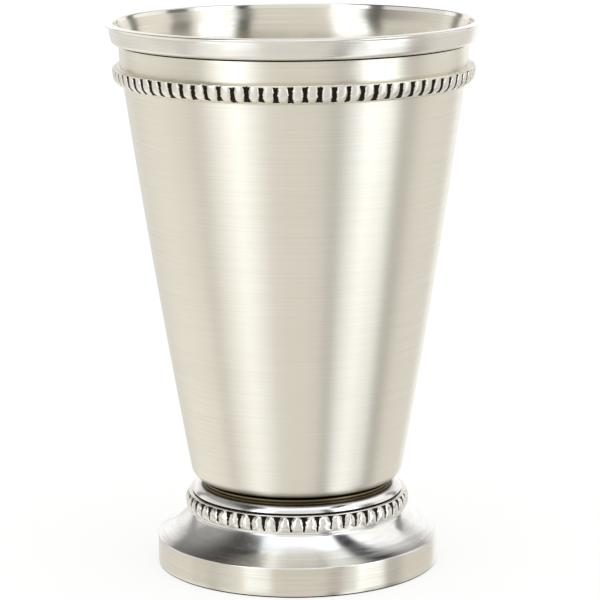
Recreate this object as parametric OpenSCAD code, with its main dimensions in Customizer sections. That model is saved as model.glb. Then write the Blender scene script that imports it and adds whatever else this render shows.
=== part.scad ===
// Beaded julep cup: a brushed metal beaker with a lipped rim band, on a hollow spun foot.
// Millimetres. +Z is up, and the origin is the centre of the foot's ring on the table.

/* [Cup] */
// Outer diameter of the rolled lip
rim_d = 89.4; // [88.8:0.2:92]
// Height from the table to the top of the lip
total_h = 131.6; // [120:0.2:150]
// Outer diameter of the wall just under the upper beading
neck_d = 80.8; // [79:0.2:81]
// Diameter that the wall would have at its underside, before the corner is rounded
bottom_d = 50.2; // [49:0.2:54]
// How far the wall swells outside a straight taper
wall_belly = 0.5; // [0:0.1:1]
// Thickness of the wall
wall_t = 0.9; // [0.7:0.1:1.1]
// Thickness of the floor
floor_t = 1.2; // [0.9:0.1:2]
// Outer radius of the corner between wall and floor
corner_r = 3.6; // [2.6:0.2:4]

/* [Rim band] */
// Height of the band, from its lower edge to the top of the lip
band_h = 4.9; // [4.6:0.1:5.6]
// How far the band's face stands inside the lip
band_inset = 1.4; // [1.1:0.1:1.6]
// Radius of the roll along the outside of the lip
lip_r = 0.45; // [0.35:0.05:0.6]
// Radius of the band's turned lower edge
turn_r = 1.2; // [0.8:0.1:1.3]

/* [Beading] */
// Distance from the top of the lip to the middle of the upper beading
beading_drop = 12.5; // [11:0.1:16]
// Number of beads round the cup
rim_beads = 81; // [60:1:84]
// Number of beads round the foot
foot_beads = 52; // [36:1:54]
// Height of the gaps between the beads
bead_h = 3.6; // [3:0.1:4]
// Greatest radius of a bead, which is a barrel standing upright
bead_r = 1.15; // [1:0.05:1.2]
// Height of the edges that close the gaps above and below
edge_h = 0.3; // [0.2:0.05:0.4]

/* [Foot] */
// Outer diameter of the foot's ring
foot_d = 67.9; // [64:0.1:74]
// Height of the foot, up to the seat of the cup
foot_h = 19.8; // [19.4:0.1:24]
// Height of the ring's upright skirt
skirt_h = 7.25; // [5:0.05:8]
// Diameter of the neck under the foot's beading
waist_d = 53; // [52.8:0.1:54]
// Diameter of the corner that the hollow sweep from neck to skirt rounds
sweep_d = 57.8; // [55.4:0.2:60]
// Outer diameter of the dome's edge, over the dark groove
dome_d = 51; // [50.6:0.1:51.2]
// Thickness of the foot's metal
foot_t = 1.3; // [1:0.1:1.6]
// Thickness of the plate at the top of the foot
plate_t = 2.5; // [2:0.1:3]

/* [Seat and fixing] */
// Thickness of the round-edged ring between cup and foot
seat_t = 1.15; // [0.9:0.05:1.6]
// Outer diameter of that ring
seat_d = 45.8; // [42:0.2:47]
// Diameter of the stud under the cup
stud_d = 5; // [4:0.5:6]
// Diameter of the plate that joins the stud to the cup
stud_plate_d = 14; // [10:1:20]
// Outer diameter of the washer under the foot's top plate
washer_d = 15; // [12:1:18]
// Width of the nut across its flats
nut_w = 8; // [7.5:0.5:10]

/* [Hidden] */
$fn = 96;

// Colours: brushed grey-beige metal, bright turned metal, the olive of the stained seat ring and
// the bright zinc of the fixing
brushed = [0.80, 0.77, 0.70];
turned = [0.84, 0.82, 0.77];
stained = [0.45, 0.38, 0.26];
plated = [0.72, 0.73, 0.74];

// Cup
rim_r = rim_d / 2;
body_z = foot_h + seat_t;
bead_mid_z = total_h - beading_drop;
beads_low_z = bead_mid_z - bead_h / 2 - edge_h;
beads_high_z = bead_mid_z + bead_h / 2 + edge_h;
band_z = total_h - band_h;
neck_r = neck_d / 2;
strip_r = rim_r - 3.5;
seam_r = rim_r - 3.3;
mouth_z = total_h - 1;
mouth_r = rim_r - 1.4;
wall_steps = 12;
corner_steps = 6;

// Rim band
face_r = rim_r - band_inset;
cap_r = 0.45;

// Beading: a bead is the middle of a barrel, whose side is an arc that would meet the barrel's axis
// this far above and below its middle
barrel_half = 2.5;
barrel_arc = (barrel_half * barrel_half + bead_r * bead_r) / (2 * bead_r);
bead_sink = 0.1;
rail_t = 0.3;
rim_back_r = strip_r + 0.1;
rim_crest_r = rim_r - 1.75;

// Foot
foot_r = foot_d / 2;
sweep_r = sweep_d / 2;
waist_r = waist_d / 2;
dome_r = dome_d / 2;
sweep_z = skirt_h + 2.45;
waist_z = skirt_h + 5.55;
groove_z = foot_h - 2.15;
strip_foot_z = groove_z - edge_h - bead_h;
groove_h = 0.35;
rebate_r = dome_r - 0.3;
foot_back_r = waist_r - 0.4;
foot_crest_r = waist_r + 0.6;
seat_lap = 0.3;
dome_arc = 3;
skirt_round = 0.5;
skirt_turn = 60;
hollow_r = sweep_r - 1.3;
hollow_z = skirt_h + 1.35;
base_line = 0.35;
base_chamfer = 0.25;

// Fixing
stud_r = stud_d / 2;
stud_plate_t = 0.8;
washer_t = 1;
nut_h = 4;
stud_tip = 2;
under_plate_z = foot_h - plate_t;
nut_z = under_plate_z - washer_t - nut_h;
stud_bevel = 0.5;
hole_clear = 0.15;
seat_bore_d = stud_plate_d + 1;
past = 1;

// Points along an arc, from angle a to angle b
function arc(c, r, a, b, n) = [for (i = [0 : n]) let (t = a + (b - a) * i / n) c + r * [cos(t), sin(t)]];

// Points along the arc of radius r from p up to q, which swells away from the axis
function swell(p, q, r, n) =
    let (half = norm(q - p) / 2,
         along = (q - p) / (2 * half),
         c = (p + q) / 2 - sqrt(r * r - half * half) * [along[1], -along[0]],
         a = atan2(p[1] - c[1], p[0] - c[0]),
         b = atan2(q[1] - c[1], q[0] - c[0]))
    arc(c, r, a, b, n);

// Points along the hollow curve from p to q that rounds the corner b, without its two ends
function cove(p, b, q, n) =
    [for (i = [1 : n - 1]) let (t = i / n) (1 - t) * (1 - t) * p + 2 * t * (1 - t) * b + t * t * q];

// Outer radius of the tapered wall at height z
function wall_r(z) =
    let (t = (z - body_z) / (beads_low_z - body_z))
    bottom_d / 2 + (neck_r - bottom_d / 2) * t + 4 * wall_belly * t * (1 - t);

// Angle of the wall from upright at its foot
wall_lean = atan((neck_r - bottom_d / 2 + 4 * wall_belly) / (beads_low_z - body_z));

// Section of the wall from its rounded corner to the mouth, moved in by d, with its floor moved up by e
function wall_line(d, e) =
    let (r = corner_r - d,
         top = body_z + e + r * (1 - sin(wall_lean)),
         c = [wall_r(top) - d - r * cos(wall_lean), body_z + e + r])
    concat(arc(c, r, -90, -wall_lean, corner_steps),
           [for (i = [1 : wall_steps]) let (z = top + (beads_low_z - top) * i / wall_steps)
               [wall_r(z) - d, z]],
           [[strip_r - d, beads_high_z], [seam_r - d, band_z], [mouth_r - d, mouth_z]]);

module cup_body() {
    outer = wall_line(0, 0);
    inner = wall_line(wall_t, floor_t);
    color(brushed) rotate_extrude()
        polygon(concat([[0, body_z]], outer, [for (i = [len(inner) - 1 : -1 : 0]) inner[i]],
                       [[0, body_z + floor_t]]));
}

// The band laps the outside of the mouth and rolls over its edge
module rim_band() {
    turn_c = [face_r - turn_r, band_z + turn_r];
    lip_c = [rim_r - lip_r, total_h - lip_r];
    cap_c = [mouth_r - wall_t + cap_r, total_h - cap_r];
    color(turned) rotate_extrude() polygon(concat(
        [[seam_r, band_z]],
        arc(turn_c, turn_r, -90, 0, 5),
        arc(lip_c, lip_r, -70, 90, 8),
        arc(cap_c, cap_r, 90, 180, 4),
        [[mouth_r - wall_t, mouth_z], [mouth_r, mouth_z]]));
}

// One upright bead: a barrel cut off at its back, this far behind its axis
module bead(back) {
    intersection() {
        rotate_extrude() intersection() {
            translate([bead_r - barrel_arc, 0]) circle(r = barrel_arc);
            translate([0, -bead_h / 2]) square([bead_r, bead_h]);
        }
        translate([-back, -bead_r, -bead_h / 2]) cube([back + bead_r, 2 * bead_r, bead_h]);
    }
}

// A ring of beads that stand out to crest_r, sunk a little into the face of their strip
module beads(count, crest_r, face_r, z) {
    ring_r = crest_r - bead_r;
    for (i = [0 : count - 1]) rotate([0, 0, i * 360 / count]) translate([ring_r, 0, z])
        bead(ring_r - face_r + bead_sink);
}

// The strip leans on the flaring wall, and a rail closes it above and below the beads
module rim_beading() {
    low = beads_low_z + edge_h;
    high = beads_high_z - edge_h;
    rail_r = rim_back_r + rail_t;
    color(turned) {
        rotate_extrude() polygon([
            [neck_r, beads_low_z], [rail_r, beads_low_z], [rail_r, low], [rim_back_r, low],
            [rim_back_r, high], [rail_r, high], [rail_r, beads_high_z], [strip_r, beads_high_z]]);
        beads(rim_beads, rim_crest_r, rim_back_r, bead_mid_z);
    }
}

// A flat ring with a half-round edge, on which the cup stands clear of the foot
module seat_ring() {
    color(stained) translate([0, 0, foot_h]) rotate_extrude() {
        translate([seat_bore_d / 2, 0]) square([(seat_d - seat_t - seat_bore_d) / 2, seat_t]);
        translate([(seat_d - seat_t) / 2, seat_t / 2]) intersection() {
            circle(r = seat_t / 2);
            translate([0, -seat_t / 2]) square([seat_t / 2, seat_t]);
        }
    }
}

// Outside of the foot, from the table up to its seat
foot_outer = concat(
    [[foot_r - base_chamfer, 0], [foot_r, base_line]],
    arc([foot_r - skirt_round, skirt_h - skirt_round], skirt_round, 0, skirt_turn, 4),
    cove([foot_r - skirt_round, skirt_h], [sweep_r, sweep_z], [waist_r, waist_z], 10),
    [[waist_r, waist_z], [waist_r, strip_foot_z], [rebate_r, strip_foot_z], [rebate_r, groove_z + groove_h]],
    swell([dome_r, groove_z + groove_h], [seat_d / 2 - seat_lap, foot_h], dome_arc, 6),
    [[stud_r + hole_clear, foot_h]]);

// Inside of the hollow foot, from the stud's hole down to the table
foot_inner = [
    [stud_r + hole_clear, under_plate_z], [rebate_r - foot_t, under_plate_z],
    [rebate_r - foot_t, waist_z], [hollow_r, hollow_z],
    [hollow_r, skirt_h - 0.2], [foot_r - foot_t, skirt_h - foot_t], [foot_r - foot_t, 0]];

module foot_shell() {
    color(turned) rotate_extrude() polygon(concat(foot_outer, foot_inner));
}

// The foot's strip lies in a rebate, with one rail above its beads
module foot_beading() {
    top_z = groove_z - edge_h;
    rail_r = foot_back_r + rail_t;
    color(turned) {
        rotate_extrude() polygon([
            [rebate_r, strip_foot_z], [foot_back_r, strip_foot_z], [foot_back_r, top_z],
            [rail_r, top_z], [rail_r, groove_z], [rebate_r, groove_z]]);
        beads(foot_beads, foot_crest_r, foot_back_r, (strip_foot_z + top_z) / 2);
    }
}

// A stud with a thin plate, brazed under the floor of the cup
module fixing_stud() {
    color(plated) rotate_extrude() polygon([
        [0, body_z], [stud_plate_d / 2, body_z], [stud_plate_d / 2, body_z - stud_plate_t],
        [stud_r, body_z - stud_plate_t], [stud_r, nut_z - stud_tip + stud_bevel],
        [stud_r - stud_bevel, nut_z - stud_tip],
        [0, nut_z - stud_tip]]);
}

module stud_washer() {
    color(plated) translate([0, 0, under_plate_z - washer_t]) difference() {
        cylinder(r = washer_d / 2, h = washer_t);
        translate([0, 0, -past]) cylinder(r = stud_r + hole_clear, h = washer_t + 2 * past);
    }
}

module stud_nut() {
    color(plated) translate([0, 0, nut_z]) difference() {
        cylinder(r = nut_w / 2 / cos(30), h = nut_h, $fn = 6);
        translate([0, 0, -past]) cylinder(r = stud_r, h = nut_h + 2 * past);
    }
}

cup_body();
rim_band();
rim_beading();
seat_ring();
foot_shell();
foot_beading();
fixing_stud();
stud_washer();
stud_nut();
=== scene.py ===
"""Beaded julep cup: a brushed metal beaker with a lipped rim band, standing on a hollow spun foot.

Sizes are in millimetres in the classes and become metres when a mesh is made. +Z is up, the origin is
the centre of the foot's ring on the table, and the photograph is taken from -Y.
"""

import logging
import math
import random
from collections.abc import Callable
from dataclasses import dataclass
from enum import Enum
from typing import Any

import bmesh
import bpy
from mathutils import Matrix, Vector, noise


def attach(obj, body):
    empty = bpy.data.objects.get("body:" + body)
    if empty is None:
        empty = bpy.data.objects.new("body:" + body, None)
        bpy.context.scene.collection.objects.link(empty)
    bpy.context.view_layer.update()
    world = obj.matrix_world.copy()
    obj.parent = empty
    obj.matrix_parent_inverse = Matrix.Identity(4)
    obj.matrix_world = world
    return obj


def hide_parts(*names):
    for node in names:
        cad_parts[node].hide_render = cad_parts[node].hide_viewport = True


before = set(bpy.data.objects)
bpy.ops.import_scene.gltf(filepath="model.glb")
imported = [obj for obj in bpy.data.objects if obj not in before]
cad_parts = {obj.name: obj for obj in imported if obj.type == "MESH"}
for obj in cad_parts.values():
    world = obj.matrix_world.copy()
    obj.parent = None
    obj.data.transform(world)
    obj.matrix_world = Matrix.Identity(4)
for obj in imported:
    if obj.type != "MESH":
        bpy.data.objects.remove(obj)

LOG = logging.getLogger("julep_cup")
# Metres in a millimetre
MM = 0.001
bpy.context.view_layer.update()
FULL_TURN = 2 * math.pi
# Vertices of a spun piece that lie closer than this, in millimetres, become one
MERGE_MM = 0.0005
WHITE = (1.0, 1.0, 1.0, 1.0)

Point = tuple[float, float]
Tree = bpy.types.NodeTree
Socket = bpy.types.NodeSocket


class Slot(Enum):
    """The record's material slots."""

    BODY = "body_metal"
    RIM = "rim_metal"
    BEADS = "bead_metal"
    SEAT = "seat_metal"
    FOOT = "foot_metal"
    FIXING = "fixing_metal"


class Blend(Enum):
    """What a mix node mixes: its data type, and the numbers of its two inputs and its output."""

    COLOUR = ("RGBA", 6, 7, 2)
    VALUE = ("FLOAT", 2, 3, 0)


def linear(code: str) -> tuple[float, float, float, float]:
    """Turn an sRGB hex colour into a linear colour.

    Args:
        code: Six hex digits, such as "d6cfc0".

    Returns:
        Red, green, blue and an alpha of 1.
    """
    parts = [int(code[i : i + 2], 16) / 255 for i in (0, 2, 4)]
    r, g, b = (c / 12.92 if c <= 0.04045 else ((c + 0.055) / 1.055) ** 2.4 for c in parts)
    return r, g, b, 1.0


def add_node(tree: Tree, kind: str, inputs: dict[Any, Any] | None = None, **settings: Any) -> Any:
    """Add a node to a tree, with its settings and its links.

    Args:
        tree: The node tree.
        kind: The node's type.
        inputs: Input name or number to a value, or to the output socket that feeds it.
        **settings: Attributes of the node.

    Returns:
        The new node.
    """
    node = tree.nodes.new(kind)
    for key, value in settings.items():
        setattr(node, key, value)
    for key, value in (inputs or {}).items():
        if isinstance(value, Socket):
            tree.links.new(value, node.inputs[key])
        else:
            node.inputs[key].default_value = value
    return node


def maths(tree: Tree, operation: str, *values: Any) -> Socket:
    """Work something out with one math node.

    Args:
        tree: The node tree.
        operation: The math node's operation.
        *values: Its inputs in order, each a number or the output socket that feeds it.

    Returns:
        The result.
    """
    return add_node(tree, "ShaderNodeMath", dict(enumerate(values)), operation=operation).outputs[0]


def ranged(tree: Tree, value: Socket, low: float, high: float, to: Point = (0.0, 1.0), **settings: Any) -> Socket:
    """Map a value's range to another range, and hold it at both ends.

    Args:
        tree: The node tree.
        value: The value.
        low: The value that gives the first of the results.
        high: The value that gives the second.
        to: The two results.
        **settings: Attributes of the node.

    Returns:
        The result.
    """
    limits = {"Value": value, "From Min": low, "From Max": high, "To Min": to[0], "To Max": to[1]}
    return add_node(tree, "ShaderNodeMapRange", limits, **settings).outputs[0]


def mixed(tree: Tree, share: Socket, first: Any, second: Any, blend: Blend = Blend.COLOUR) -> Socket:
    """Mix two colours or two values.

    Args:
        tree: The node tree.
        share: How much of the second there is, from 0 to 1.
        first: A colour or a value, or the socket that gives it.
        second: The other one.
        blend: What is mixed.

    Returns:
        The mix.
    """
    kind, low, high, result = blend.value
    inputs = {"Factor": share, low: first, high: second}
    return add_node(tree, "ShaderNodeMix", inputs, data_type=kind).outputs[result]


def emptied(owner: bpy.types.Material | bpy.types.World) -> Tree:
    """Switch on the nodes of a material or a world, and return their tree, cleared."""
    owner.use_nodes = True
    owner.node_tree.nodes.clear()
    return owner.node_tree


def new_object(name: str, data: bpy.types.ID) -> bpy.types.Object:
    """Make an object from its data, and put it in the scene."""
    made = bpy.data.objects.new(name, data)
    bpy.context.scene.collection.objects.link(made)
    return made


def evenly(low: float, high: float, steps: int) -> list[float]:
    """Return the values that divide a range into equal steps, both ends included."""
    return [low + (high - low) * i / steps for i in range(steps + 1)]


def arc(centre: Point, radius: float, start: float, end: float, steps: int) -> list[Point]:
    """Give points along an arc in a profile.

    Args:
        centre: The arc's centre, as radius and height.
        radius: The arc's radius.
        start: Start angle in degrees, 0 pointing away from the axis and 90 pointing up.
        end: End angle in degrees.
        steps: Number of steps between the two.

    Returns:
        The points, both ends included.
    """
    turns = [math.radians(turn) for turn in evenly(start, end, steps)]
    return [(centre[0] + radius * math.cos(t), centre[1] + radius * math.sin(t)) for t in turns]


def swell(low: Point, high: Point, radius: float, steps: int) -> list[Point]:
    """Give points along the arc that goes up from one point to another and swells away from the axis.

    Args:
        low: The lower end.
        high: The upper end.
        radius: The arc's radius.
        steps: Number of steps.

    Returns:
        The points, both ends included.
    """
    a, b = Vector(low), Vector(high)
    half = (b - a).length / 2
    along = (b - a).normalized()
    centre = (a + b) / 2 - math.sqrt(radius * radius - half * half) * Vector((along.y, -along.x))
    start = math.degrees(math.atan2(a.y - centre.y, a.x - centre.x))
    end = math.degrees(math.atan2(b.y - centre.y, b.x - centre.x))
    return arc((centre.x, centre.y), radius, start, end, steps)


def stretch(start: Point, end: Point, steps: int) -> list[Point]:
    """Divide a straight stretch of a profile, leaving out its first point.

    Args:
        start: Where the stretch starts.
        end: Where it ends.
        steps: Number of steps.

    Returns:
        The points after the start.
    """
    a, b = Vector(start), Vector(end)
    return [tuple(a.lerp(b, i / steps)) for i in range(1, steps + 1)]


def spin_profile(points: list[Point], steps: int, closed: bool = False, sectors: int = 24) -> bmesh.types.BMesh:
    """Spin a profile round the cup's axis.

    One sector is spun first and then repeated, which is much quicker than one spin of many steps.

    Args:
        points: The profile, as radius and height in millimetres.
        steps: Number of steps in the full turn, a multiple of the sectors.
        closed: Whether the last point joins the first, as round a ring.
        sectors: Number of equal sectors.

    Returns:
        The mesh in metres, with its doubles merged and its normals outward.
    """
    bm = bmesh.new()
    verts = [bm.verts.new((r * MM, 0, z * MM)) for r, z in points]
    edges = [bm.edges.new(pair) for pair in zip(verts, verts[1:] + verts[:1] if closed else verts[1:])]
    about = {"cent": (0, 0, 0), "axis": (0, 0, 1), "dvec": (0, 0, 0), "use_merge": False}
    bmesh.ops.spin(bm, geom=verts + edges, angle=FULL_TURN / sectors, steps=steps // sectors, use_duplicate=False,
                   **about)
    bmesh.ops.spin(bm, geom=bm.verts[:] + bm.edges[:] + bm.faces[:], angle=FULL_TURN * (sectors - 1) / sectors,
                   steps=sectors - 1, use_duplicate=True, **about)
    bmesh.ops.remove_doubles(bm, verts=bm.verts, dist=MERGE_MM * MM)
    bmesh.ops.recalc_face_normals(bm, faces=bm.faces)
    return bm


def finish_piece(bm: bmesh.types.BMesh, name: str, finishes: list["Finish"], slot: Slot, *nodes: str,
                 crease: float = 32.0) -> None:
    """Make a finished object from a mesh, and have it stand for its CAD nodes.

    Args:
        bm: The mesh, which is used up.
        name: The piece's name.
        finishes: Its finishes, in the order of the faces' material numbers.
        slot: The record's slot for it; not used.
        *nodes: The CAD nodes that it replaces.
        crease: Edges that turn by more than this many degrees stay sharp.
    """
    for face in bm.faces:
        face.smooth = True
    for edge in bm.edges:
        edge.smooth = len(edge.link_faces) == 2 and edge.calc_face_angle() < math.radians(crease)
    mesh = bpy.data.meshes.new(name)
    bm.to_mesh(mesh)
    bm.free()
    for finish in finishes:
        mesh.materials.append(finish.material())
    piece = new_object(name, mesh)
    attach(piece, "root")
    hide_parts(*nodes)
    LOG.info("%s: %d faces, for %s", name, len(mesh.polygons), ", ".join(nodes))


def clamped(value: float) -> float:
    """Hold a value between 0 and 1."""
    return min(max(value, 0.0), 1.0)


def smooth_step(low: float, high: float, value: float) -> float:
    """Ease from 0 at low to 1 at high."""
    t = clamped((value - low) / (high - low))
    return t * t * (3 - 2 * t)


@dataclass(frozen=True)
class Clouds:
    """Soft clouds in a finish: their size, and the levels of the noise that give 0 and 1."""

    size_mm: float
    low: float
    high: float

    def draw(self, tree: Tree) -> Socket:
        """Draw the clouds.

        Args:
            tree: The material's node tree.

        Returns:
            A value from 0 to 1.
        """
        place = add_node(tree, "ShaderNodeTexCoord").outputs["Object"]
        grain = {"Vector": place, "Scale": 1 / (self.size_mm * MM), "Detail": 4.0}
        return ranged(tree, add_node(tree, "ShaderNodeTexNoise", grain).outputs[0], self.low, self.high)


# Faint clouding of the whole metal, and its strength
CLOUDING = Clouds(14, 0.5, 0.75)
CLOUDING_SHARE = 0.35
# Small dark marks, the places where they gather, and their colour
MARK_DOTS = Clouds(1.6, 0.775, 0.80)
MARK_PLACES = Clouds(22, 0.56, 0.62)
MARK_COLOUR = "4a4234"
# Painted shade on the wall just above the gap under the cup, darkest at the bottom
GAP_SHADE = "6a6353"
# What makes the patina's edge ragged
RAGGED_EDGE = Clouds(0.35, 0.3, 0.7)


@dataclass(frozen=True)
class Finish:
    """A metal surface with lines round the cup's axis, left by a brush, a belt or a lathe.

    The lines run round a wall and in circles on a flat, so they are drawn on radius plus height. Between the two
    heights of its painted shade, in mm, the metal turns from painted shade at the lower to clean at the higher.
    """

    name: str
    colour: str
    shade: str
    roughness: float
    spread: float
    anisotropy: float
    line_mm: float
    stroke_mm: float
    relief_mm: float
    marks: float = 0.0
    painted_shade: Point | None = None

    def material(self) -> bpy.types.Material:
        """Return the finish's material, made once."""
        made = bpy.data.materials.get(self.name)
        if made:
            return made
        material = bpy.data.materials.new(self.name)
        tree = emptied(material)
        lines = self.lines(tree)
        shader = add_node(tree, "ShaderNodeBsdfPrincipled", {
            "Base Color": self.tint(tree, lines),
            "Metallic": 1.0,
            "Roughness": self.sheen(tree, lines),
            "Anisotropic": self.anisotropy,
            "Anisotropic Rotation": 0.25,
            "Normal": self.relief(tree, lines),
            "Tangent": add_node(tree, "ShaderNodeTangent", direction_type="RADIAL", axis="Z").outputs[0],
        })
        add_node(tree, "ShaderNodeOutputMaterial", {"Surface": shader.outputs[0]})
        return material

    def lines(self, tree: Tree) -> Socket:
        """Draw the brushed lines.

        Args:
            tree: The material's node tree.

        Returns:
            A value round 0.5 that changes from line to line.
        """
        place = add_node(tree, "ShaderNodeTexCoord").outputs["Object"]
        axes = add_node(tree, "ShaderNodeSeparateXYZ", {0: place}).outputs
        flat = add_node(tree, "ShaderNodeCombineXYZ", {"X": axes["X"], "Y": axes["Y"]}).outputs[0]
        radius = add_node(tree, "ShaderNodeVectorMath", {0: flat}, operation="LENGTH").outputs["Value"]
        along = add_node(tree, "ShaderNodeVectorMath", {0: flat, "Scale": 1 / (self.stroke_mm * MM)},
                         operation="SCALE").outputs[0]
        across = maths(tree, "MULTIPLY", maths(tree, "ADD", radius, axes["Z"]), 1 / (self.line_mm * MM))
        lift = add_node(tree, "ShaderNodeCombineXYZ", {"Z": across}).outputs[0]
        where = add_node(tree, "ShaderNodeVectorMath", {0: along, 1: lift}, operation="ADD").outputs[0]
        grain = {"Vector": where, "Scale": 1.0, "Detail": 3.0, "Roughness": 0.65}
        return add_node(tree, "ShaderNodeTexNoise", grain).outputs[0]

    def tint(self, tree: Tree, lines: Socket) -> Socket:
        """Colour the metal: lighter and darker lines, faint clouds, a few dark marks and any painted shade low
        down.

        Args:
            tree: The material's node tree.
            lines: The brushed lines.

        Returns:
            The colour.
        """
        metal = mixed(tree, ranged(tree, lines, 0.3, 0.7), linear(self.shade), linear(self.colour))
        clouding = maths(tree, "MULTIPLY", CLOUDING.draw(tree), CLOUDING_SHARE)
        metal = mixed(tree, clouding, metal, linear(self.shade))
        # Painted shade: the metal darkens downwards towards the gap under the cup
        if self.painted_shade:
            place = add_node(tree, "ShaderNodeTexCoord").outputs["Object"]
            height = add_node(tree, "ShaderNodeSeparateXYZ", {0: place}).outputs["Z"]
            unshaded = ranged(tree, height, self.painted_shade[0] * MM, self.painted_shade[1] * MM)
            metal = mixed(tree, unshaded, linear(GAP_SHADE), metal)
        if not self.marks:
            return metal
        marks = maths(tree, "MULTIPLY", MARK_DOTS.draw(tree), MARK_PLACES.draw(tree))
        return mixed(tree, maths(tree, "MULTIPLY", marks, self.marks), metal, linear(MARK_COLOUR))

    def sheen(self, tree: Tree, lines: Socket) -> Socket:
        """Return the roughness, which changes from line to line."""
        ends = (self.roughness + self.spread, self.roughness - self.spread)
        return ranged(tree, lines, 0.25, 0.75, to=ends)

    def relief(self, tree: Tree, lines: Socket) -> Socket:
        """Return the normal, with the lines' relief."""
        strokes = {"Height": lines, "Distance": self.relief_mm * MM, "Strength": 1.0}
        return add_node(tree, "ShaderNodeBump", strokes).outputs[0]


@dataclass(frozen=True)
class PatinaFinish(Finish):
    """Cast beads, polished on their crests, with black-brown patina left in the pits between them.

    The mesh carries an attribute, pit, that is 0 on the metal and 1 on the floor of a pit.
    """

    patina: str = "2b221b"
    patina_roughness: float = 0.55
    raggedness: float = 0.3

    def tint(self, tree: Tree, lines: Socket) -> Socket:
        """Colour the beads, and darken the pits with a slightly ragged edge."""
        return mixed(tree, self.dirt(tree), super().tint(tree, lines), linear(self.patina))

    def sheen(self, tree: Tree, lines: Socket) -> Socket:
        """Return the roughness, which is dull on the patina."""
        return mixed(tree, self.dirt(tree), super().sheen(tree, lines), self.patina_roughness, Blend.VALUE)

    def dirt(self, tree: Tree) -> Socket:
        """Return how much patina there is, from 0 to 1."""
        pit = add_node(tree, "ShaderNodeAttribute", attribute_name="pit").outputs["Fac"]
        return ranged(tree, maths(tree, "MULTIPLY_ADD", RAGGED_EDGE.draw(tree), self.raggedness, pit), 0.5, 0.8)


# Nickel-silver wall, belt-brushed round: a soft satin with fine level lines and upright bands of light
# Its painted shade darkens the wall downwards towards the gap under the cup
SATIN_WALL = Finish("satin_brushed_wall", "ede7d8", "e5decd", 0.36, 0.03, 0.85, 0.3, 28, 0.0014, marks=0.8,
                    painted_shade=(21.4, 23.2))
# The same sheet inside, less brushed, so the bands in it are sharper
SATIN_INSIDE = Finish("satin_brushed_inside", "e5dfd0", "dcd5c5", 0.22, 0.03, 0.8, 0.3, 32, 0.0014)
# Rim band, turned in a lathe and rubbed with fine abrasive: like the wall, but brighter
TURNED_BAND = Finish("turned_band", "ebe6db", "e2dccf", 0.28, 0.03, 0.8, 0.3, 24, 0.0014)
# Lip, burnished by a roller: nearly a mirror, with faint turned lines
BURNISHED_LIP = Finish("burnished_lip", "f0ece2", "e7e1d5", 0.14, 0.03, 0.3, 0.3, 24, 0.0008)
# Black: seams and grooves where polish has dried black, and painted shade in the gap under the cup, on the seat
# ring's top and along the foot's edge on the table
BLACK_SEAM_AND_SHADE = Finish("blackened_seam_and_shade", "241f19", "14110d", 0.5, 0.05, 0.0, 0.5, 6, 0.003)
# Bead strip under the rim, cast and buffed
BUFFED_BEADS = PatinaFinish("buffed_beads", "ece7db", "e2dccd", 0.32, 0.05, 0.0, 0.5, 4, 0.003)
# Bead strip of the foot: brighter on its crests, and less even
CAST_BEADS = PatinaFinish("cast_beads", "f2eee6", "dfd9cd", 0.22, 0.06, 0.0, 0.5, 2, 0.006)
# Spun foot, brushed round and then mopped: soft reflections with streaks in them
SPUN_FOOT = Finish("spun_brushed_foot", "f3f2ee", "dedbd3", 0.21, 0.09, 0.7, 0.25, 16, 0.0045, marks=0.5)
# Skirt of the foot, brushed round like the wall
BRUSHED_SKIRT = Finish("brushed_skirt", "e3ddcd", "d8d1c0", 0.25, 0.04, 0.8, 0.35, 26, 0.0018)
# Dull seat ring, coloured dark olive-brown
OLIVE_RING = Finish("olive_seat_ring", "8d7c58", "6c5d3f", 0.4, 0.05, 0.0, 0.8, 6, 0.002)
# Zinc plate on the fixing: bright, bluish and a little cloudy
ZINC_PLATE = Finish("bright_zinc_plate", "bfc2c4", "a9adb0", 0.3, 0.05, 0.2, 0.3, 8, 0.002)


@dataclass
class BeadRow:
    """A row of upright beads with dark pits between them, worked into the outside of a strip.

    The strip's back, more than reach inside the middle radius, stays as it was spun. The pits' soft edges are made
    ragged by noise of a grain per millimetre, which is moved on by pit_shift from one pit to the next.
    """

    count: int
    steps_per_bead: int
    middle_r: float
    seed: int
    grain: float
    pit_shift: float
    roughness: float
    edge: Point
    reach: float = 1.4

    def work(self, bm: bmesh.types.BMesh, shape: Callable[[float, float, int], tuple[float, float]],
             low_z: float, high_z: float) -> None:
        """Move the strip's outside in and out, and note on each vertex how deep in a pit it lies.

        Args:
            bm: The spun strip.
            shape: Gives the outward move in millimetres and the pit's depth from 0 to 1, from the distance
                to the nearest pit's middle, the height and that pit's number.
            low_z: Height above which vertices move.
            high_z: Height below which they move.
        """
        layer = bm.verts.layers.float.new("pit")
        pitch = FULL_TURN * self.middle_r / self.count
        for vert in bm.verts:
            z = vert.co.z / MM
            radius = math.hypot(vert.co.x, vert.co.y) / MM
            if not low_z < z < high_z or radius < self.middle_r - self.reach:
                continue
            turn = math.atan2(vert.co.y, vert.co.x) % FULL_TURN
            place = turn / FULL_TURN * self.count
            pit = math.floor(place)
            move, depth = shape((place - pit - 0.5) * pitch, z, pit)
            vert.co.xy *= (radius + move) / radius
            vert[layer] = depth

    def quirks(self) -> list[tuple[float, float, float, float]]:
        """Return each pit's width, lean, and the shifts of its two ends: no two are quite alike."""
        chance = random.Random(self.seed)
        return [(chance.uniform(0.86, 1.16), chance.uniform(-0.06, 0.06), chance.uniform(-0.16, 0.1),
                 chance.uniform(-0.1, 0.16)) for _ in range(self.count)]

    def half_pitch(self, radius: float) -> float:
        """Return half the distance from pit to pit, measured round the cup at a radius."""
        return FULL_TURN * radius / self.count / 2

    def depth(self, inside: float, off: float, z: float, pit: int) -> float:
        """Return how deep a place lies, from 0 on the metal to 1 in a pit, by how far inside the pit it is."""
        place = Vector((off * self.grain, z * self.grain, pit * self.pit_shift))
        return smooth_step(*self.edge, inside + noise.noise(place) * self.roughness)


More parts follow.
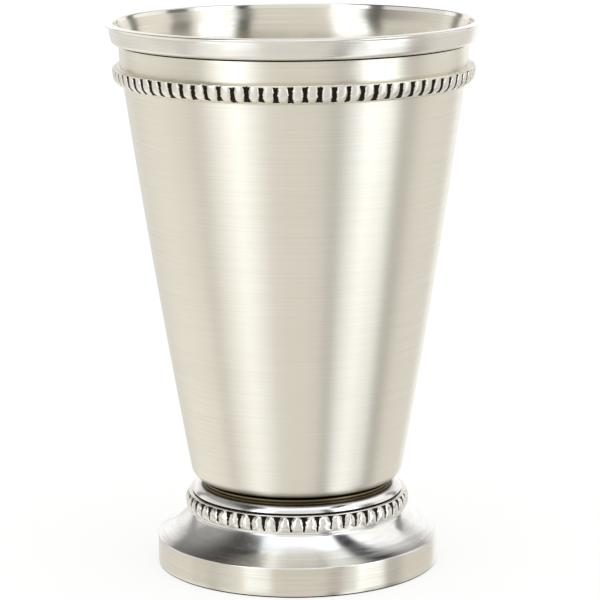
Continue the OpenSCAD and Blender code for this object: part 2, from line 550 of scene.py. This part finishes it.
@dataclass
class Beaker:
    """The cup above its foot: wall and floor in one, the rim band and the upper bead strip."""

    rim_r: float = 44.7
    top_z: float = 131.6
    wall_t: float = 0.9
    floor_t: float = 1.2
    base_z: float = 20.95
    bottom_r: float = 25.1
    neck_r: float = 40.4
    belly: float = 0.5
    corner_r: float = 3.6
    beads_low_z: float = 117.0
    beads_high_z: float = 121.2
    strip_r: float = 41.2
    seam_r: float = 41.4
    band_z: float = 126.7
    face_r: float = 43.3
    face_z: float = 128.9
    face_top_z: float = 130.35
    turned_r: float = 1.15
    lip_r: float = 0.24
    mouth_r: float = 43.3
    mouth_z: float = 130.6
    bead_count: int = 81
    bead_rise: float = 2.05
    pit_r: float = 42.0
    pit_half: float = 1.8
    pit_depth: float = 0.42
    pit_waist: float = 0.53
    pit_widening: Point = (0.36, 0.2)

    def build(self) -> None:
        """Make the beaker's three pieces."""
        self.body()
        self.band()
        self.beading()

    def wall_at(self, z: float) -> float:
        """Return the outer radius of the wall at height z, with its belly halfway up."""
        if z > self.beads_low_z:
            t = (z - self.beads_low_z) / (self.beads_high_z - self.beads_low_z)
            return self.neck_r + (self.strip_r - self.neck_r) * min(t, 1.0)
        t = (z - self.base_z) / (self.beads_low_z - self.base_z)
        return self.bottom_r + (self.neck_r - self.bottom_r) * t + 4 * self.belly * t * (1 - t)

    def corner(self, inset: float, lift: float) -> list[Point]:
        """Give the rounded corner between floor and wall.

        Args:
            inset: How far inside the outer surface.
            lift: How far above the cup's underside.

        Returns:
            The corner's points, from the floor up.
        """
        lean = math.atan((self.neck_r - self.bottom_r + 4 * self.belly) / (self.beads_low_z - self.base_z))
        r = self.corner_r - inset
        top = self.base_z + lift + r * (1 - math.sin(lean))
        centre = (self.wall_at(top) - inset - r * math.cos(lean), self.base_z + lift + r)
        return arc(centre, r, -90, -math.degrees(lean), 10)

    def side(self, inset: float, lift: float) -> list[Point]:
        """Give the wall from its rounded corner up to the beads; the arguments are those of corner."""
        corner = self.corner(inset, lift)
        heights = evenly(corner[-1][1], self.beads_low_z, 40)[1:]
        return corner + [(self.wall_at(z) - inset, z) for z in heights]

    def body(self) -> None:
        """Make the wall and floor, as one spun sheet."""
        outer = self.side(0, 0)
        outer += stretch(outer[-1], (self.strip_r, self.beads_high_z), 4)
        outer += stretch(outer[-1], (self.seam_r - 0.03, self.band_z - 0.58), 5)
        # A fine groove under the band, which holds the black seam
        groove = ((0.05, 0.46), (0.12, 0.41), (0.16, 0.38), (0.16, 0.0), (0.0, 0.0))
        outer += [(self.seam_r - inset, self.band_z - drop) for inset, drop in groove]
        outer += [(self.mouth_r, self.mouth_z)]
        inner = self.side(self.wall_t, self.floor_t)
        flare = [(self.strip_r - self.wall_t + 0.05, self.beads_high_z),
                 (self.seam_r - self.wall_t + 0.4, self.band_z), (self.mouth_r - self.wall_t, self.mouth_z)]
        inner += self.eased([inner[-1]] + flare, 12)
        under = [(0.0, self.base_z)] + stretch((0.0, self.base_z), outer[0], 4)[:-1]
        floor = stretch(inner[0], (0.0, self.base_z + self.floor_t), 5)
        bm = spin_profile(under + outer + inner[::-1] + floor, steps=384)
        for face in bm.faces:
            middle = face.calc_center_median()
            inward = middle.x * face.normal.x + middle.y * face.normal.y < 0
            on_floor = middle.z > (self.base_z + 0.5) * MM and face.normal.z > 0.5
            in_seam = self.band_z - 0.4 < middle.z / MM < self.band_z + 0.1
            # Faces below base_z + 0.5 are painted black: painted shade in the gap between the cup and its foot
            in_shaded_gap = middle.z / MM < self.base_z + 0.5
            face.material_index = 1 if inward or on_floor else 2 if in_seam or in_shaded_gap else 0
        finish_piece(bm, "beaker_wall", [SATIN_WALL, SATIN_INSIDE, BLACK_SEAM_AND_SHADE], Slot.BODY, "cup_body")

    @staticmethod
    def eased(corners: list[Point], steps: int) -> list[Point]:
        """Draw a smooth line through the corners of a flare, leaving out its first point.

        Args:
            corners: Points that the line passes near, and ends on.
            steps: Number of steps for each pair of corners.

        Returns:
            The line's points.
        """
        points = [Vector(c) for c in corners]
        middles = [points[0]] + [(a + b) / 2 for a, b in zip(points[1:], points[2:])] + [points[-1]]
        line: list[Point] = []
        for start, bend, end in zip(middles, points[1:-1] + [points[-1]], middles[1:]):
            for i in range(1, steps + 1):
                t = i / steps
                line.append(tuple(start.lerp(bend, t).lerp(bend.lerp(end, t), t)))
        return line

    def band(self) -> None:
        """Make the rim band: a turned lower edge, a flaring face and a lip that rolls over the mouth."""
        lip = (self.rim_r - self.lip_r, self.top_z - 0.42)
        crest = (self.mouth_r - self.wall_t + 0.5, self.top_z - 0.3)
        turned = arc((self.face_r - self.turned_r, self.band_z + self.turned_r), self.turned_r, -90, -6, 10)
        waist, brow = (self.face_r + 0.22, self.face_z), (self.face_r + 0.42, self.face_top_z)
        face = stretch(turned[-1], waist, 3) + stretch(waist, brow, 4)
        # The hollow under the lip
        hollow = ((0.42, 130.52), (0.41, 130.64), (0.48, 130.78), (0.66, 130.9))
        throat = [(self.face_r + out, z) for out, z in hollow]
        roll = arc(lip, self.lip_r, -72, 78, 10)
        dip = stretch(roll[-1], (crest[0] + 0.1, self.top_z), 4)
        inside = arc(crest, 0.3, 80, 172, 7)
        back = [(self.mouth_r - self.wall_t, self.mouth_z), (self.mouth_r, self.mouth_z)]
        profile = [(self.seam_r, self.band_z)] + turned + face + throat + roll + dip + inside + back
        bm = spin_profile(profile, steps=480, closed=True)
        for facet in bm.faces:
            facet.material_index = 1 if facet.calc_center_median().z > self.mouth_z * MM else 0
        finish_piece(bm, "rim_lip_band", [TURNED_BAND, BURNISHED_LIP], Slot.RIM, "rim_band", crease=50)

    def beading(self) -> None:
        """Make the strip under the rim: a swelling row of beads, merging with the wall above and below."""
        low, high = self.beads_low_z - 0.4, self.beads_high_z + 0.3
        mid = (self.beads_low_z + self.beads_high_z) / 2 - 0.2

        def swelling(z: float) -> float:
            """Return how far the beads' crests stand out from the wall at height z."""
            if z > mid:
                t = min((z - mid) / (high - mid), 1.0)
                return self.bead_rise * (1 - 0.12 * t * t) * (1 - t ** 9) ** 0.6
            return self.bead_rise * (1 - min((mid - z) / (mid - low), 1.0) ** 2.4) ** 0.9

        outside = [(self.wall_at(z) + swelling(z) + 0.01, z) for z in evenly(low, high, 44)]
        back = [(self.strip_r - 0.25, high), (self.neck_r - 0.25, low)]
        row = BeadRow(count=self.bead_count, steps_per_bead=22, middle_r=self.strip_r, seed=7,
                      grain=2.6, pit_shift=3.7, roughness=0.2, edge=(-0.08, 0.16))
        quirks = row.quirks()
        half_pitch = row.half_pitch(self.pit_r)

        def shape(off: float, z: float, pit: int) -> tuple[float, float]:
            """Shape one pit, narrow in its middle, and the halves of the beads beside it."""
            width, lean, low_end, high_end = quirks[pit % self.bead_count]
            below, above = self.pit_widening
            v = (z - mid) / self.pit_half
            off_mid = abs(off - lean * v)
            waist = self.pit_waist + above * max(v, 0) ** 2.2 + below * max(-v, 0) ** 2
            inside = min(waist * width - off_mid, self.pit_half + (high_end if v > 0 else -low_end) - abs(z - mid))
            depth = row.depth(inside, off, z, pit)
            across = clamped((off_mid - waist * width) / (half_pitch - waist * width))
            roundness = 0.2 * (1 - across) ** 3 * (1 - smooth_step(0.7, 1.1, abs(v)))
            rise = swelling(z)
            return -min(roundness, rise) * (1 - depth) - depth * min(rise, self.pit_depth), depth

        steps = self.bead_count * row.steps_per_bead
        bm = spin_profile(outside + back, steps, closed=True, sectors=self.bead_count)
        row.work(bm, shape, low + 0.05, high - 0.05)
        finish_piece(bm, "upper_bead_strip", [BUFFED_BEADS], Slot.BEADS, "rim_beading", crease=75)


@dataclass
class Foot:
    """The hollow spun foot, its bead strip and the ring that the cup stands on."""

    foot_r: float = 33.95
    height: float = 19.8
    skirt_h: float = 7.25
    shoulder_r: float = 0.3
    sweep: Point = (28.9, 9.7)
    waist: Point = (26.5, 12.8)
    hollow: Point = (27.6, 8.6)
    rebate_r: float = 25.2
    strip_r: float = 26.4
    strip_z: float = 13.75
    groove_z: float = 17.65
    dome: Point = (25.5, 18.0)
    dome_swell_r: float = 2.6
    seat_r: float = 22.9
    seat_bore_r: float = 7.5
    seat_t: float = 1.15
    metal_t: float = 1.3
    plate_t: float = 2.5
    plate_corner_r: float = 0.8
    hole_r: float = 2.65
    bead_count: int = 52
    crest_r: float = 27.1
    rail_r: float = 26.25
    rail_half: float = 0.16
    pit_r: float = 26.8
    pit_depth: float = 0.45
    slot_half: float = 0.25
    slot_widening: float = 0.24

    def build(self) -> None:
        """Make the foot's three pieces."""
        self.shell()
        self.beading()
        self.seat()

    def shell(self) -> None:
        """Make the hollow foot: skirt, hollow sweep, neck, rebate, groove and dome."""
        # The edge on the table is just rounded
        base = [(self.foot_r - self.metal_t, 0.0), (self.foot_r - 0.28, 0.0), (self.foot_r - 0.06, 0.16),
                (self.foot_r, 0.36)]
        shoulder_z = self.skirt_h - 0.33
        skirt = stretch(base[-1], (self.foot_r, shoulder_z), 6)
        shoulder = arc((self.foot_r - self.shoulder_r, shoulder_z), self.shoulder_r, 8, 60, 6)
        sweep = self.cove(shoulder[-1], self.sweep, self.waist, 32)
        # The neck's fine turned line, under the bead strip
        line = ((0.05, 12.95), (0.14, 13.05), (0.05, 13.15), (0.0, 13.3), (0.0, self.strip_z))
        neck = [self.waist] + [(self.waist[0] - inset, z) for inset, z in line]
        rebate = [(self.rebate_r, z) for z in (self.strip_z, self.groove_z, self.dome[1] - 0.06)]
        dome = [(self.dome[0] - 0.08, self.dome[1] - 0.04)]
        dome += swell(self.dome, (self.seat_r - 0.3, self.height), self.dome_swell_r, 14)
        top = stretch(dome[-1], (self.hole_r, self.height), 4)
        profile = base + skirt + shoulder + sweep + neck + rebate + dome + top + self.hidden_side()
        bm = spin_profile(profile, steps=384, closed=True)
        for face in bm.faces:
            middle = face.calc_center_median()
            on_skirt = middle.z < (self.skirt_h - 0.5) * MM
            outer = math.hypot(middle.x, middle.y) > (self.rebate_r - 0.4) * MM
            in_groove = outer and self.strip_z * MM < middle.z < (self.dome[1] - 0.03) * MM
            # The foot's edge on the table is painted black: a painted contact shadow
            in_contact_shadow = middle.z < 0.3 * MM
            face.material_index = 2 if in_groove or in_contact_shadow else 1 if on_skirt else 0
        finishes = [SPUN_FOOT, BRUSHED_SKIRT, BLACK_SEAM_AND_SHADE]
        finish_piece(bm, "spun_foot", finishes, Slot.FOOT, "foot_shell", crease=40)

    def hidden_side(self) -> list[Point]:
        """Give the foot's inner side, from the hole in its top plate down to the table."""
        under_z = self.height - self.plate_t
        inner_r = self.rebate_r - self.metal_t
        ease = self.plate_corner_r
        under = [(self.hole_r, under_z)] + stretch((self.hole_r, under_z), (inner_r - ease, under_z), 4)
        inner = arc((inner_r - ease, under_z - ease), ease, 90, 0, 5) + [(inner_r, self.waist[1])]
        inner += stretch((inner_r, self.waist[1]), self.hollow, 4) + [(self.hollow[0], self.skirt_h - 0.2)]
        inner += stretch(inner[-1], (self.foot_r - self.metal_t - 0.5, self.skirt_h - self.metal_t + 0.05), 4)
        return under + inner + [(self.foot_r - self.metal_t, self.skirt_h - self.metal_t - 0.5)]

    @staticmethod
    def cove(start: Point, bend: Point, end: Point, steps: int) -> list[Point]:
        """Draw the hollow curve that rounds a corner, without its two ends.

        Args:
            start: Where it starts.
            bend: The corner that it rounds.
            end: Where it ends.
            steps: Number of steps.

        Returns:
            The curve's points between its ends.
        """
        a, b, c = Vector(start), Vector(bend), Vector(end)
        turns = [i / steps for i in range(1, steps)]
        return [tuple(a.lerp(b, t).lerp(b.lerp(c, t), t)) for t in turns]

    def beading(self) -> None:
        """Make the foot's bead strip: round-topped beads under a thin rail, flowing out below into the neck."""
        low, top = self.strip_z - 0.15, self.groove_z - 0.3
        back_r = self.rebate_r - 0.05

        def envelope(z: float) -> float:
            """Return the radius of the beads' crests at height z."""
            t = (z - low) / (top - low)
            bulge = math.sin(math.pi * min(t * 1.05, 1.0)) ** 0.7
            return self.waist[0] + 0.01 + (self.crest_r - self.waist[0]) * bulge

        rail = arc((self.rail_r, self.groove_z - self.rail_half), self.rail_half, -60, 90, 6)
        profile = [(envelope(z), z) for z in evenly(low, top, 38)] + [(self.rail_r - 0.2, top + 0.02)] + rail
        profile += [(back_r, self.groove_z), (back_r, low)]
        row = BeadRow(count=self.bead_count, steps_per_bead=24, middle_r=self.strip_r, seed=11,
                      grain=1.7, pit_shift=5.3, roughness=0.22, edge=(-0.12, 0.22))
        quirks = row.quirks()
        half_pitch = row.half_pitch(self.pit_r)
        pit_low, pit_high = self.strip_z + 0.12, top + 0.3

        def shape(off: float, z: float, pit: int) -> tuple[float, float]:
            """Shape one pit, narrow below and wide above, and the halves of the beads beside it."""
            width, lean, low_end, high_end = quirks[pit % self.bead_count]
            t = (z - pit_low) / (top - pit_low)
            off_mid = abs(off - 1.6 * lean * (t - 0.5))
            shoulder_t = clamped((t - 0.42 - high_end * 0.3) / 0.6)
            slot = self.slot_half + self.slot_widening * clamped(t)
            waist = slot * width + (half_pitch - slot * width) * (1 - math.sqrt(1 - shoulder_t ** 2.6)) * 0.95
            inside = min(waist - off_mid, z - pit_low - low_end * 2.5, pit_high - z)
            depth = row.depth(inside, off, z, pit)
            across = clamped((off_mid - waist) / (half_pitch - slot))
            roundness = 0.36 * (1 - across) ** 2 * smooth_step(-0.1, 0.35, t)
            bumps = noise.noise(Vector((off * 0.9 + pit * 2.1, z * 0.8, pit * 1.3)))
            lumps = 0.1 * bumps * smooth_step(-0.1, 0.2, t)
            floor = min(envelope(z) - self.rebate_r - 0.5, self.pit_depth)
            return (lumps - roundness) * (1 - depth) - depth * floor, depth

        steps = self.bead_count * row.steps_per_bead
        bm = spin_profile(profile, steps, closed=True, sectors=self.bead_count)
        row.work(bm, shape, low + 0.03, top + 0.01)
        finish_piece(bm, "foot_bead_strip", [CAST_BEADS], Slot.BEADS, "foot_beading", crease=75)

    def seat(self) -> None:
        """Make the round-edged ring between foot and cup, its upper half painted black as painted shade under the
        cup.
        """
        half = self.seat_t / 2
        edge = arc((self.seat_r - half, self.height + half), half, -90, 90, 12)
        bore = [(self.seat_bore_r, self.height + self.seat_t), (self.seat_bore_r, self.height)]
        bm = spin_profile(edge + bore, steps=240, closed=True)
        for face in bm.faces:
            # The upper half is painted black: painted shade under the cup's corner
            face.material_index = 1 if face.calc_center_median().z > (self.height + 0.75) * MM else 0
        finish_piece(bm, "seat_ring_dressed", [OLIVE_RING, BLACK_SEAM_AND_SHADE], Slot.SEAT, "seat_ring")


@dataclass
class Fixing:
    """The hidden stud under the cup, with the washer and nut that hold the foot on."""

    stud_r: float = 2.5
    plate_r: float = 7.0
    plate_t: float = 0.8
    cup_z: float = 20.95
    plate_under_z: float = 17.3
    washer_r: float = 7.5
    washer_t: float = 1.0
    bore_r: float = 2.65
    nut_half: float = 4.0
    nut_h: float = 4.0
    tip_z: float = 10.3
    thread_pitch: float = 0.8

    def build(self) -> None:
        """Make the stud, the washer and the nut."""
        self.stud()
        self.washer()
        self.nut()

    def stud(self) -> None:
        """Make the stud with its plate; its thread is drawn as rings, which look alike at this size."""
        neck_z = self.cup_z - self.plate_t
        thread: list[Point] = []
        z = neck_z - 0.6
        while z > self.tip_z + 1.2:
            thread += [(self.stud_r, z), (self.stud_r, z - 0.15), (self.stud_r - 0.4, z - 0.4)]
            z -= self.thread_pitch
        tip = [(self.stud_r, self.tip_z + 0.5), (self.stud_r - 0.5, self.tip_z), (0.0, self.tip_z)]
        plate = [(0.0, self.cup_z), (self.plate_r, self.cup_z), (self.plate_r, neck_z + 0.1),
                 (self.plate_r - 0.1, neck_z), (self.stud_r, neck_z)]
        bm = spin_profile(plate + thread + tip, steps=72)
        finish_piece(bm, "threaded_stud", [ZINC_PLATE], Slot.FIXING, "fixing_stud", crease=20)

    def washer(self) -> None:
        """Make the washer, with edges just broken by the press."""
        top, low, ease = self.plate_under_z, self.plate_under_z - self.washer_t, 0.12
        profile = [(self.bore_r, low), (self.washer_r - ease, low), (self.washer_r, low + ease),
                   (self.washer_r, top - ease), (self.washer_r - ease, top), (self.bore_r, top)]
        bm = spin_profile(profile, steps=96, closed=True)
        finish_piece(bm, "flat_washer", [ZINC_PLATE], Slot.FIXING, "stud_washer", crease=20)

    def nut(self) -> None:
        """Make the nut: a spun ring drawn out to six flats, its corners turned off above and below."""
        top = self.plate_under_z - self.washer_t
        low = top - self.nut_h
        corner = self.nut_half / math.cos(math.pi / 6)
        turned_r = self.nut_half * 0.96
        profile = [(self.stud_r + 0.3, low), (turned_r, low), (corner, low + 0.55), (corner, top - 0.55),
                   (turned_r, top), (self.stud_r + 0.3, top), (self.stud_r, top - 0.3), (self.stud_r, low + 0.3)]
        bm = spin_profile(profile, steps=72, closed=True)
        for vert in bm.verts:
            radius = math.hypot(vert.co.x, vert.co.y)
            side = math.atan2(vert.co.y, vert.co.x) % (math.pi / 3) - math.pi / 6
            flat = self.nut_half * MM / math.cos(side)
            if radius > flat:
                vert.co.xy *= flat / radius
        finish_piece(bm, "hexagon_nut", [ZINC_PLATE], Slot.FIXING, "stud_nut", crease=20)


class LightSide(Enum):
    """Where a low light stands: degrees round from the camera, seen from above, positive to the right."""

    LEFT = -45.0
    RIGHT = 56.0


@dataclass(frozen=True)
class Patch:
    """A part of the room that is darker or lighter than the rest, as the metal mirrors it.

    Its limits are in degrees: around from the camera, positive to the right, and up from the horizon. Limits
    across cut it off too, by the sideways part of a direction, along a line turned this many degrees from +X.
    The edge is the width of its soft edges, in degrees.
    """

    around: Point
    up: Point
    level: float
    edge: float = 4.0
    across: Point = (-2.0, 2.0)
    turn: float = 0.0


# What the metal mirrors besides the plain white room
ROOM = (
    # Below the horizon, where the metal sees no floor: the two lights and the dark strips beside them
    Patch((-170, -82), (-90, -22), 1.12),
    Patch((-97, -46), (-22, 0), 0.73),
    Patch((-170, -97), (-22, 0), 0.85),
    Patch((-83, -72), (-90, -22), 0.66, edge=5),
    Patch((-70, -45), (-90, -22), 1.22),
    Patch((-44, -22), (-22, 0), 1.7),
    Patch((26, 36.5), (-90, -22), 0.22, edge=3),
    Patch((33, 47), (-22, 0), 0.68),
    Patch((38.5, 58), (-90, -22), 1.65),
    Patch((50, 75), (-22, 0), 1.8),
    Patch((60, 79), (-90, -22), 0.72),
    Patch((80, 98), (-90, -22), 0.2, edge=5),
    Patch((76, 100), (-22, 0), 0.7, edge=6),
    Patch((98, 150), (-90, 0), 0.83, edge=10),
    # The bright middle of the ceiling, and the room in front
    Patch((28, 140), (22, 60), 1.12, edge=10),
    Patch((-190, 190), (52, 100), 1.5, edge=10),
    Patch((-27, 30), (4, 45), 0.88),
    Patch((-119, -64), (8, 30), 0.85),
    Patch((76, 94), (8, 30), 0.2),
    Patch((129, 139), (0, 30), 0.2),
    Patch((-142, -132), (0, 30), 0.25),
    # Large black flags beside the ceiling, for the foot
    Patch((-190, 190), (28, 100), 0.05, edge=4, across=(-2, -0.29), turn=-20),
    Patch((-190, 190), (28, 100), 0.4, edge=16, across=(-2, -0.66), turn=-20),
    Patch((-190, 190), (26, 100), 0.0, edge=3, across=(0.37, 0.54), turn=10),
    # The upper halves of the lights and of their dark strips, as the inside of the cup sees them
    Patch((-64, -53), (4, 50), 0.1),
    Patch((-53, -27), (2, 50), 1.8, edge=2),
    Patch((30.5, 40), (1, 50), 0.05),
    Patch((42, 70), (2, 50), 1.8, edge=2),
)
# Degrees in a soft edge for each unit of one across
DEGREES_ACROSS = 60


@dataclass
class Studio:
    """A white sweep in a painted white room, two low soft lights, and black flags that draw the metal's shape.

    The wall of the room changes from front_level to back_level over the two front_to_back places, and gives way
    to the ceiling over the two ceiling_up heights. Light between the two lamp_levels turns to the lamps' colour.
    """

    ring_m: float = 0.9
    light_height_m: float = 0.3
    light_width_m: float = 0.42
    light_lift_m: float = 0.01
    light_level: float = 1.5
    front_level: float = 0.83
    back_level: float = 1.15
    front_to_back: Point = (-0.8, 0.3)
    ceiling_level: float = 0.74
    ceiling_up: Point = (12.0, 24.0)
    lamp_colour: str = "edf4ff"
    lamp_levels: Point = (1.1, 1.5)
    floor_half_m: float = 6.0
    paper_colour: str = "f8f8f7"
    paper_share: float = 0.34
    paper_level: float = 1.06

    def build(self) -> None:
        """Make the floor, the lights and the world."""
        self.floor()
        for side in LightSide:
            self.low_light(side)
        self.world()

    def floor(self) -> None:
        """Lay the white sweep.

        The camera sees it white, but for the shadow; the metal mirrors the world in its place.
        """
        bm = bmesh.new()
        bmesh.ops.create_grid(bm, x_segments=1, y_segments=1, size=self.floor_half_m)
        mesh = bpy.data.meshes.new("studio_floor")
        bm.to_mesh(mesh)
        bm.free()
        material = bpy.data.materials.new("white_sweep")
        tree = emptied(material)
        paper = add_node(tree, "ShaderNodeBsdfDiffuse", {"Color": linear(self.paper_colour)}).outputs[0]
        glow = add_node(tree, "ShaderNodeEmission", {"Color": WHITE, "Strength": self.paper_level}).outputs[0]
        seen = add_node(tree, "ShaderNodeLightPath").outputs["Is Camera Ray"]
        share = maths(tree, "MULTIPLY", seen, 1 - self.paper_share)
        both = add_node(tree, "ShaderNodeMixShader", {0: share, 1: paper, 2: glow}).outputs[0]
        add_node(tree, "ShaderNodeOutputMaterial", {"Surface": both})
        mesh.materials.append(material)
        floor = new_object("studio_floor", mesh)
        floor.visible_glossy = False

    def low_light(self, side: LightSide) -> None:
        """Stand a low wide light on the floor at its side, turned to the cup."""
        data = bpy.data.lights.new(f"low_light_{side.name.lower()}", "AREA")
        data.shape = "RECTANGLE"
        data.size = self.light_width_m
        data.size_y = self.light_height_m
        data.energy = self.light_level * math.pi * data.size * data.size_y
        data.color = linear(self.lamp_colour)[:3]
        light = new_object(data.name, data)
        turn = math.radians(side.value)
        light.location = (self.ring_m * math.sin(turn), -self.ring_m * math.cos(turn),
                          self.light_height_m / 2 + self.light_lift_m)
        light.rotation_euler = (math.pi / 2, 0, turn)

    def world(self) -> None:
        """Fill the room with white, and paint in it what the metal mirrors."""
        world = bpy.data.worlds.new("white_room")
        bpy.context.scene.world = world
        tree = emptied(world)
        level = self.room_level(tree, add_node(tree, "ShaderNodeTexCoord").outputs["Generated"])
        mirrored = add_node(tree, "ShaderNodeLightPath").outputs["Is Glossy Ray"]
        seen = mixed(tree, mirrored, 1.0, level, Blend.VALUE)
        room = add_node(tree, "ShaderNodeBackground", {"Color": self.colour_at(tree, seen), "Strength": seen})
        add_node(tree, "ShaderNodeOutputWorld", {"Surface": room.outputs[0]})

    def room_level(self, tree: Tree, ray: Socket) -> Socket:
        """Paint how bright the room is in each direction, for what the metal mirrors.

        Args:
            tree: The node tree.
            ray: The direction.

        Returns:
            The brightness, where 1 is white.
        """
        axes = add_node(tree, "ShaderNodeSeparateXYZ", {0: ray}).outputs
        around = self.azimuth(tree, axes)
        up = maths(tree, "DEGREES", maths(tree, "ARCSINE", axes["Z"]))
        wall = ranged(tree, axes["Y"], *self.front_to_back, to=(self.front_level, self.back_level))
        level = mixed(tree, ranged(tree, up, *self.ceiling_up), wall, self.ceiling_level, Blend.VALUE)
        for patch in ROOM:
            mask = self.window(tree, around, patch.around, patch.edge)
            turn = math.radians(patch.turn)
            across = add_node(tree, "ShaderNodeVectorMath", {0: ray, 1: (math.cos(turn), math.sin(turn), 0)},
                              operation="DOT_PRODUCT").outputs["Value"]
            limits = ((up, patch.up, patch.edge), (across, patch.across, patch.edge / DEGREES_ACROSS))
            for value, ends, edge in limits:
                mask = maths(tree, "MULTIPLY", mask, self.window(tree, value, ends, edge))
            level = mixed(tree, mask, level, patch.level, Blend.VALUE)
        return level

    def colour_at(self, tree: Tree, level: Socket) -> Socket:
        """Return the light's colour for a brightness: white in the room, and slightly cooler in the lamps."""
        return mixed(tree, ranged(tree, level, *self.lamp_levels), WHITE, linear(self.lamp_colour))

    @staticmethod
    def azimuth(tree: Tree, axes: Any) -> Socket:
        """Return the degrees round from the camera, positive to the right, from a direction's X, Y and Z."""
        ahead = maths(tree, "MULTIPLY", axes["Y"], -1.0)
        return maths(tree, "DEGREES", maths(tree, "ARCTAN2", axes["X"], ahead))

    @staticmethod
    def window(tree: Tree, value: Socket, limits: Point, edge: float) -> Socket:
        """Return 1 where a value lies between two limits and 0 outside, with soft edges.

        Args:
            tree: The node tree.
            value: The value.
            limits: Low and high limit.
            edge: Width of the soft edge.

        Returns:
            The mask.
        """
        low, high = (ranged(tree, value, limit - edge / 2, limit + edge / 2, interpolation_type="SMOOTHSTEP")
                     for limit in limits)
        return maths(tree, "SUBTRACT", low, high)


@dataclass
class PhotoCamera:
    """The photograph's camera, found from the ellipses of the rim, the seams and the foot."""

    distance: float = 654.62
    height: float = 194.83
    pitch: float = 0.197
    yaw: float = 0.0016
    roll: float = -0.0072
    focal_px: float = 2772.27
    image_px: float = 600.0
    sensor_mm: float = 36.0
    clip_m: float = 0.01

    def build(self) -> None:
        """Make the camera and use it."""
        data = bpy.data.cameras.new("photo_camera")
        data.sensor_width = self.sensor_mm
        data.lens = self.focal_px * self.sensor_mm / self.image_px
        data.clip_start = self.clip_m
        ahead = Vector((math.sin(self.yaw) * math.cos(self.pitch), math.cos(self.yaw) * math.cos(self.pitch),
                        -math.sin(self.pitch)))
        right = ahead.cross(Vector((0, 0, 1))).normalized()
        up = right.cross(ahead)
        across = right * math.cos(self.roll) + up * math.sin(self.roll)
        upright = up * math.cos(self.roll) - right * math.sin(self.roll)
        turn = Matrix((across, upright, -ahead)).transposed()
        camera = new_object("photo_camera", data)
        camera.matrix_world = Matrix.Translation(Vector((0, -self.distance, self.height)) * MM) @ turn.to_4x4()
        bpy.context.scene.camera = camera


def main() -> None:
    """Build the cup and its studio."""
    logging.basicConfig(level=logging.INFO, format="%(name)s: %(message)s")
    bpy.context.scene.view_settings.view_transform = "Standard"
    PhotoCamera().build()
    for part in (Beaker(), Foot(), Fixing()):
        part.build()
    Studio().build()


if __name__ == "__main__":
    main()
